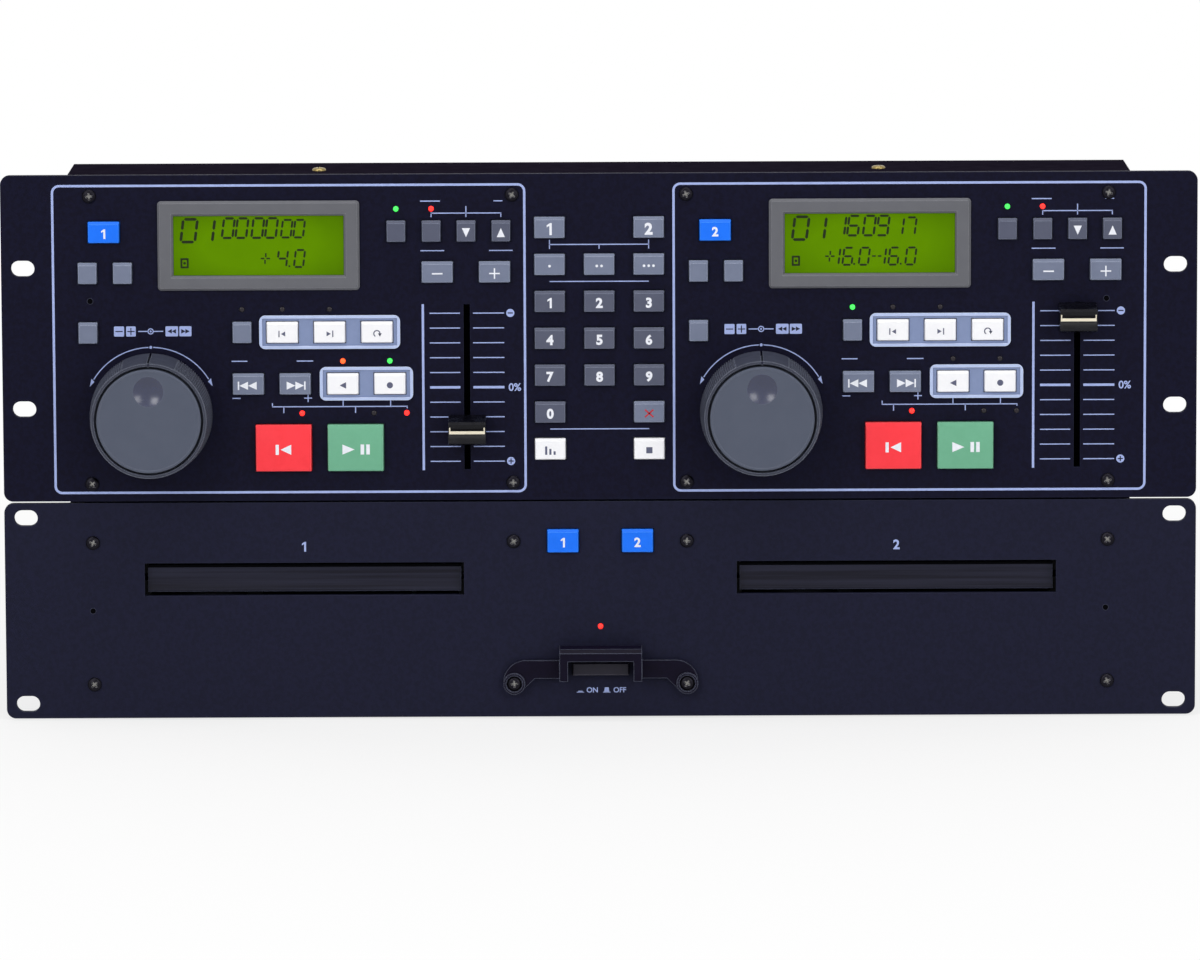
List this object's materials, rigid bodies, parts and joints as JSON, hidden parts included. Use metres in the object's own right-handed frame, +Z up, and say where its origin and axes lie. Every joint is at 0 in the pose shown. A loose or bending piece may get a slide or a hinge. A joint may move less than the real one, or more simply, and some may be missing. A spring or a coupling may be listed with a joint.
{
  "type": "dual disc player with remote control panel",
  "caption": "Rack-mount dual disc player with two loading trays and a control panel with jog dials, shuttle rings, pitch faders, lit screens and keys.",
  "frame": {"origin": "on the table, under the middle of the whole unit", "axes": "+X to the right along the front panels, -Y out of the front panels, +Z up"},
  "size_m": [0.4826, 0.286, 0.2219],
  "materials": {
    "control_panel_paint": "fine textured dark navy",
    "player_panel_paint": "fine textured dark navy",
    "silver_surround": "silver",
    "display_bezel": "satin grey",
    "screen_glass": "backlit green screen",
    "lamp_lens": "tinted lamp lens",
    "zinc_steel": "zinc plated sheet",
    "circuit_board": "green solder resist",
    "case_paint": "black powder coat",
    "foot_rubber": "matt",
    "black_screw": "black zinc",
    "guard_plastic": "satin dark navy",
    "loader_plastic": "moulded black",
    "motor_steel": "drawn steel can",
    "transformer_steel": "varnished laminations",
    "connector_metal": "nickel plated",
    "inlet_plastic": "moulded black",
    "power_key": "satin",
    "blue_key": "satin blue",
    "dark_key": "satin dark grey",
    "grey_key": "satin grey",
    "white_key": "satin white",
    "red_key": "satin red",
    "green_key": "satin green",
    "dial_grey": "satin grey",
    "ring_grey": "matt grey",
    "fader_black": "satin black",
    "tray_plastic": "dark satin",
    "gear_plastic": "natural acetal",
    "turntable_plastic": "black with rubber seat",
    "pickup_metal": "die cast"
  },
  "bodies": {
    "root": {"control_panel": "control_panel_paint", "key_surrounds": "silver_surround", "display_frames": "display_bezel", "display_screens": "screen_glass", "lamps": "lamp_lens", "fader_tracks": "zinc_steel", "control_board": "circuit_board", "control_case": "case_paint", "player_panel": "player_panel_paint", "player_chassis": "zinc_steel", "player_cover": "case_paint", "rubber_feet": "foot_rubber", "screws": "black_screw", "power_switch_guard": "guard_plastic", "loader_frames": "loader_plastic", "clamp_bridges": "zinc_steel", "loading_motors": "motor_steel", "mains_transformer": "transformer_steel", "player_board": "circuit_board", "rear_connectors": "connector_metal", "mains_inlet": "inlet_plastic"},
    "mode_keys_1": {"mode_keys_1": "grey_key"},
    "pitch_keys_1": {"pitch_keys_1": "dark_key"},
    "bend_keys_1": {"bend_keys_1": "grey_key"},
    "track_keys_1": {"track_keys_1": "grey_key"},
    "loop_keys_1": {"loop_keys_1": "white_key"},
    "sampler_keys_1": {"sampler_keys_1": "white_key"},
    "cue_key_1": {"cue_key_1": "red_key"},
    "play_key_1": {"play_key_1": "green_key"},
    "mode_keys_2": {"mode_keys_2": "grey_key"},
    "pitch_keys_2": {"pitch_keys_2": "dark_key"},
    "bend_keys_2": {"bend_keys_2": "grey_key"},
    "track_keys_2": {"track_keys_2": "grey_key"},
    "loop_keys_2": {"loop_keys_2": "white_key"},
    "sampler_keys_2": {"sampler_keys_2": "white_key"},
    "cue_key_2": {"cue_key_2": "red_key"},
    "play_key_2": {"play_key_2": "green_key"},
    "open_keys": {"open_keys": "blue_key"},
    "number_keys": {"number_keys": "dark_key"},
    "function_keys": {"function_keys": "grey_key"},
    "player_open_keys": {"player_open_keys": "blue_key"},
    "power_button": {"power_button": "power_key"},
    "jog_dial_1": {"jog_dial_1": "dial_grey"},
    "shuttle_ring_1": {"shuttle_ring_1": "ring_grey"},
    "pitch_fader_1": {"pitch_fader_1": "fader_black"},
    "jog_dial_2": {"jog_dial_2": "dial_grey"},
    "shuttle_ring_2": {"shuttle_ring_2": "ring_grey"},
    "pitch_fader_2": {"pitch_fader_2": "fader_black"},
    "disc_tray_1": {"disc_tray_1": "tray_plastic"},
    "loading_gear_1": {"loading_gear_1": "gear_plastic"},
    "traverse_1": {"traverse_frame_1": "loader_plastic", "traverse_drive_1": "motor_steel"},
    "turntable_1": {"turntable_1": "turntable_plastic"},
    "pickup_1": {"pickup_1": "pickup_metal"},
    "disc_tray_2": {"disc_tray_2": "tray_plastic"},
    "loading_gear_2": {"loading_gear_2": "gear_plastic"},
    "traverse_2": {"traverse_frame_2": "loader_plastic", "traverse_drive_2": "motor_steel"},
    "turntable_2": {"turntable_2": "turntable_plastic"},
    "pickup_2": {"pickup_2": "pickup_metal"}
  },
  "joints": [
    {"name": "mode_keys_1_press", "type": "slide", "parent": "root", "child": "mode_keys_1", "axis": [0, 1, 0], "range_m": [0, 0.001], "stiffness_N_per_m": 400, "springref_m": -0.0006},
    {"name": "pitch_keys_1_press", "type": "slide", "parent": "root", "child": "pitch_keys_1", "axis": [0, 1, 0], "range_m": [0, 0.001], "stiffness_N_per_m": 400, "springref_m": -0.0006},
    {"name": "bend_keys_1_press", "type": "slide", "parent": "root", "child": "bend_keys_1", "axis": [0, 1, 0], "range_m": [0, 0.001], "stiffness_N_per_m": 400, "springref_m": -0.0006},
    {"name": "track_keys_1_press", "type": "slide", "parent": "root", "child": "track_keys_1", "axis": [0, 1, 0], "range_m": [0, 0.001], "stiffness_N_per_m": 400, "springref_m": -0.0006},
    {"name": "loop_keys_1_press", "type": "slide", "parent": "root", "child": "loop_keys_1", "axis": [0, 1, 0], "range_m": [0, 0.001], "stiffness_N_per_m": 400, "springref_m": -0.0006},
    {"name": "sampler_keys_1_press", "type": "slide", "parent": "root", "child": "sampler_keys_1", "axis": [0, 1, 0], "range_m": [0, 0.001], "stiffness_N_per_m": 400, "springref_m": -0.0006},
    {"name": "cue_key_1_press", "type": "slide", "parent": "root", "child": "cue_key_1", "axis": [0, 1, 0], "range_m": [0, 0.001], "stiffness_N_per_m": 400, "springref_m": -0.0006},
    {"name": "play_key_1_press", "type": "slide", "parent": "root", "child": "play_key_1", "axis": [0, 1, 0], "range_m": [0, 0.001], "stiffness_N_per_m": 400, "springref_m": -0.0006},
    {"name": "mode_keys_2_press", "type": "slide", "parent": "root", "child": "mode_keys_2", "axis": [0, 1, 0], "range_m": [0, 0.001], "stiffness_N_per_m": 400, "springref_m": -0.0006},
    {"name": "pitch_keys_2_press", "type": "slide", "parent": "root", "child": "pitch_keys_2", "axis": [0, 1, 0], "range_m": [0, 0.001], "stiffness_N_per_m": 400, "springref_m": -0.0006},
    {"name": "bend_keys_2_press", "type": "slide", "parent": "root", "child": "bend_keys_2", "axis": [0, 1, 0], "range_m": [0, 0.001], "stiffness_N_per_m": 400, "springref_m": -0.0006},
    {"name": "track_keys_2_press", "type": "slide", "parent": "root", "child": "track_keys_2", "axis": [0, 1, 0], "range_m": [0, 0.001], "stiffness_N_per_m": 400, "springref_m": -0.0006},
    {"name": "loop_keys_2_press", "type": "slide", "parent": "root", "child": "loop_keys_2", "axis": [0, 1, 0], "range_m": [0, 0.001], "stiffness_N_per_m": 400, "springref_m": -0.0006},
    {"name": "sampler_keys_2_press", "type": "slide", "parent": "root", "child": "sampler_keys_2", "axis": [0, 1, 0], "range_m": [0, 0.001], "stiffness_N_per_m": 400, "springref_m": -0.0006},
    {"name": "cue_key_2_press", "type": "slide", "parent": "root", "child": "cue_key_2", "axis": [0, 1, 0], "range_m": [0, 0.001], "stiffness_N_per_m": 400, "springref_m": -0.0006},
    {"name": "play_key_2_press", "type": "slide", "parent": "root", "child": "play_key_2", "axis": [0, 1, 0], "range_m": [0, 0.001], "stiffness_N_per_m": 400, "springref_m": -0.0006},
    {"name": "open_keys_press", "type": "slide", "parent": "root", "child": "open_keys", "axis": [0, 1, 0], "range_m": [0, 0.001], "stiffness_N_per_m": 400, "springref_m": -0.0006},
    {"name": "number_keys_press", "type": "slide", "parent": "root", "child": "number_keys", "axis": [0, 1, 0], "range_m": [0, 0.001], "stiffness_N_per_m": 400, "springref_m": -0.0006},
    {"name": "function_keys_press", "type": "slide", "parent": "root", "child": "function_keys", "axis": [0, 1, 0], "range_m": [0, 0.001], "stiffness_N_per_m": 400, "springref_m": -0.0006},
    {"name": "player_open_keys_press", "type": "slide", "parent": "root", "child": "player_open_keys", "axis": [0, 1, 0], "range_m": [0, 0.001], "stiffness_N_per_m": 400, "springref_m": -0.0006},
    {"name": "power_button_press", "type": "slide", "parent": "root", "child": "power_button", "axis": [0, 1, 0], "range_m": [0, 0.0025], "stiffness_N_per_m": 300, "springref_m": -0.0006},
    {"name": "jog_dial_1_spin", "type": "hinge", "parent": "root", "child": "jog_dial_1", "pos_m": [-0.1812, -0.119, 0.1249], "axis": [0, 1, 0], "continuous": true},
    {"name": "shuttle_ring_1_turn", "type": "hinge", "parent": "root", "child": "shuttle_ring_1", "pos_m": [-0.1812, -0.119, 0.1249], "axis": [0, 1, 0], "range_deg": [-60, 60], "stiffness_Nm_per_rad": 0.03},
    {"name": "pitch_fader_1_slide", "type": "slide", "parent": "root", "child": "pitch_fader_1", "axis": [0, 0, 1], "range_m": [-0.01285, 0.04745]},
    {"name": "jog_dial_2_spin", "type": "hinge", "parent": "root", "child": "jog_dial_2", "pos_m": [0.0653, -0.119, 0.1249], "axis": [0, 1, 0], "continuous": true},
    {"name": "shuttle_ring_2_turn", "type": "hinge", "parent": "root", "child": "shuttle_ring_2", "pos_m": [0.0653, -0.119, 0.1249], "axis": [0, 1, 0], "range_deg": [-60, 60], "stiffness_Nm_per_rad": 0.03},
    {"name": "pitch_fader_2_slide", "type": "slide", "parent": "root", "child": "pitch_fader_2", "axis": [0, 0, 1], "range_m": [-0.05765, 0.00265]},
    {"name": "disc_tray_1_slide", "type": "slide", "parent": "root", "child": "disc_tray_1", "axis": [0, -1, 0], "range_m": [0, 0.138]},
    {"name": "loading_gear_1_turn", "type": "hinge", "parent": "root", "child": "loading_gear_1", "pos_m": [-0.158, -0.0975, 0.05135], "axis": [0, 0, 1], "range_deg": [-2, 660.9]},
    {"name": "traverse_1_lower", "type": "hinge", "parent": "root", "child": "traverse_1", "pos_m": [-0.12, 0.033, 0.04275], "axis": [1, 0, 0], "range_deg": [0, 5]},
    {"name": "turntable_1_spin", "type": "hinge", "parent": "traverse_1", "child": "turntable_1", "pos_m": [-0.12, -0.044, 0.05725], "axis": [0, 0, 1], "continuous": true},
    {"name": "pickup_1_slide", "type": "slide", "parent": "traverse_1", "child": "pickup_1", "axis": [0, 1, 0], "range_m": [0, 0.034]},
    {"name": "disc_tray_2_slide", "type": "slide", "parent": "root", "child": "disc_tray_2", "axis": [0, -1, 0], "range_m": [0, 0.138]},
    {"name": "loading_gear_2_turn", "type": "hinge", "parent": "root", "child": "loading_gear_2", "pos_m": [0.082, -0.0975, 0.05135], "axis": [0, 0, 1], "range_deg": [-2, 660.9]},
    {"name": "traverse_2_lower", "type": "hinge", "parent": "root", "child": "traverse_2", "pos_m": [0.12, 0.033, 0.04275], "axis": [1, 0, 0], "range_deg": [0, 5]},
    {"name": "turntable_2_spin", "type": "hinge", "parent": "traverse_2", "child": "turntable_2", "pos_m": [0.12, -0.044, 0.05725], "axis": [0, 0, 1], "continuous": true},
    {"name": "pickup_2_slide", "type": "slide", "parent": "traverse_2", "child": "pickup_2", "axis": [0, 1, 0], "range_m": [0, 0.034]}
  ],
  "couplings": [
    {"joint": "loading_gear_1_turn", "follows": "disc_tray_1_slide", "rad_per_m": 83.333},
    {"joint": "loading_gear_2_turn", "follows": "disc_tray_2_slide", "rad_per_m": 83.333}
  ]
}
